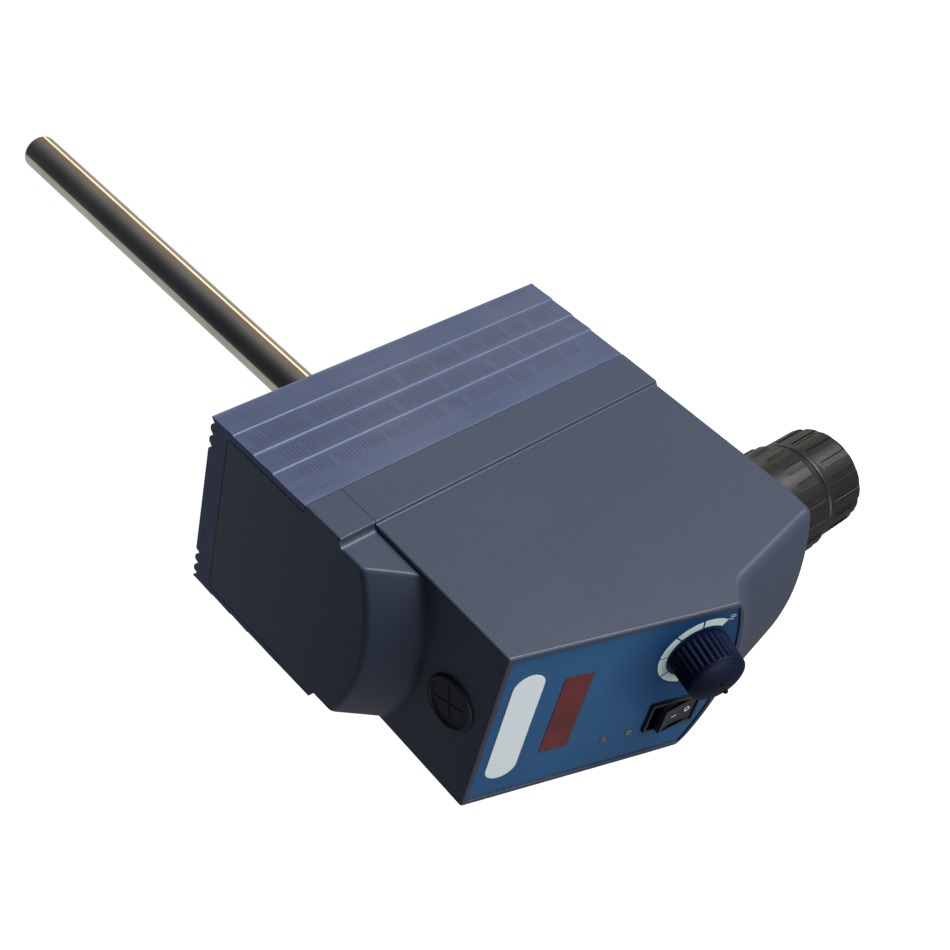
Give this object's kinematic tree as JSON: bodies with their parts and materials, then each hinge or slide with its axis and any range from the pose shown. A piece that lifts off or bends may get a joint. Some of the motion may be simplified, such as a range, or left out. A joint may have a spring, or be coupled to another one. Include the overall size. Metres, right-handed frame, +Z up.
{
  "type": "overhead laboratory stirrer",
  "caption": "Overhead laboratory stirrer with a level support rod, sloping control panel with display, rocker switch and speed knob, and a hollow spindle with a keyless chuck.",
  "frame": {"origin": "on the support rod's axis, in the plane of the stirrer's rear face", "axes": "+Y along the support rod, away from the stirrer; -Y the way the control panel faces; +Z up in the working position, so that the chuck points along -Z; +X to the right for a person who faces the panel"},
  "size_m": [0.083, 0.4005, 0.2269],
  "materials": {
    "extrusion": "blue anodised, fine ribs",
    "housing": "fine textured, matte",
    "panel": "satin",
    "label": "satin",
    "window": "gloss",
    "print": "matte",
    "lens_red": "gloss",
    "lens_green": "gloss",
    "black_plastic": "satin",
    "knob": "satin",
    "steel": "machined",
    "stainless": "polished",
    "black_steel": "black oxide",
    "chuck_plastic": "moulded, satin",
    "aluminium": "machined",
    "board": "solder-resist",
    "parts": "moulded",
    "laminations": "laminated steel with windings",
    "rubber": "matte",
    "brass": "machined"
  },
  "bodies": {
    "stirrer_body": {"rear_extrusion": "extrusion", "top_cap": "housing", "bottom_cap": "housing", "front_housing": "housing", "control_panel": "panel", "label_plate": "label", "display_window": "window", "display_module": "parts", "overload_lens": "lens_red", "power_lens": "lens_green", "dial_scale": "print", "switch_frame": "black_plastic", "pot_body": "parts", "pot_nut": "steel", "control_board": "board", "panel_screws": "steel", "power_board": "board", "board_parts": "parts", "board_brackets": "steel", "chassis": "aluminium", "chassis_screws": "steel", "housing_screws": "black_steel", "motor_can": "black_steel", "motor_endbell": "black_steel", "motor_stator": "laminations", "motor_bearings": "steel", "motor_screws": "steel", "drive_belt": "rubber", "upper_bearing_outer": "steel", "lower_bearing_outer": "steel", "speed_sensor": "black_plastic", "spindle_seal": "rubber", "shaft_plug": "rubber", "support_rod": "stainless", "rod_nut": "steel", "power_inlet": "black_plastic", "inlet_pins": "brass"},
    "spindle_group": {"spindle": "steel", "driven_pulley": "aluminium", "upper_bearing_inner": "steel", "lower_bearing_inner": "steel", "spindle_circlips": "black_steel", "encoder_disc": "black_plastic", "chuck_body": "black_steel", "chuck_ring": "chuck_plastic"},
    "motor_rotor_group": {"motor_rotor": "steel", "drive_pulley": "aluminium"},
    "sleeve_group": {"chuck_sleeve": "chuck_plastic", "jaw_nut": "brass"},
    "first_jaw": {"jaw_a": "steel"},
    "second_jaw": {"jaw_b": "steel"},
    "third_jaw": {"jaw_c": "steel"},
    "knob_group": {"speed_knob": "knob", "knob_cap": "knob", "pot_shaft": "steel"},
    "rocker": {"switch_rocker": "black_plastic"},
    "fuse_tray": {"fuse_drawer": "black_plastic"}
  },
  "joints": [
    {"name": "spindle_spin", "type": "hinge", "parent": "stirrer_body", "child": "spindle_group", "pos_m": [0, -0.1226, -0.05], "axis": [0, 0, -1], "continuous": true},
    {"name": "motor_spin", "type": "hinge", "parent": "stirrer_body", "child": "motor_rotor_group", "pos_m": [0, -0.05, -0.02], "axis": [0, 0, -1], "continuous": true},
    {"name": "sleeve_turn", "type": "hinge", "parent": "spindle_group", "child": "sleeve_group", "pos_m": [0, -0.1226, -0.145], "axis": [0, 0, 1], "range_deg": [0, 540]},
    {"name": "first_jaw_slide", "type": "slide", "parent": "spindle_group", "child": "first_jaw", "axis": [0, -0.309, -0.9511], "range_m": [0, 0.016]},
    {"name": "second_jaw_slide", "type": "slide", "parent": "spindle_group", "child": "second_jaw", "axis": [0.2676, 0.1545, -0.9511], "range_m": [0, 0.016]},
    {"name": "third_jaw_slide", "type": "slide", "parent": "spindle_group", "child": "third_jaw", "axis": [-0.2676, 0.1545, -0.9511], "range_m": [0, 0.016]},
    {"name": "knob_turn", "type": "hinge", "parent": "stirrer_body", "child": "knob_group", "pos_m": [0.018, -0.17011, -0.01825], "axis": [0, 0.9527, -0.304], "range_deg": [0, 240]},
    {"name": "rocker_tip", "type": "hinge", "parent": "stirrer_body", "child": "rocker", "pos_m": [-0.0163, -0.15922, -0.02193], "axis": [-1, 0, 0], "range_deg": [0, 24]},
    {"name": "fuse_tray_slide", "type": "slide", "parent": "stirrer_body", "child": "fuse_tray", "axis": [0, 1, 0], "range_m": [0, 0.02]}
  ],
  "couplings": [
    {"joint": "motor_spin", "follows": "spindle_spin", "ratio": 1.6667},
    {"joint": "first_jaw_slide", "follows": "sleeve_turn", "m_per_rad": 0.0016976},
    {"joint": "second_jaw_slide", "follows": "sleeve_turn", "m_per_rad": 0.0016976},
    {"joint": "third_jaw_slide", "follows": "sleeve_turn", "m_per_rad": 0.0016976}
  ]
}
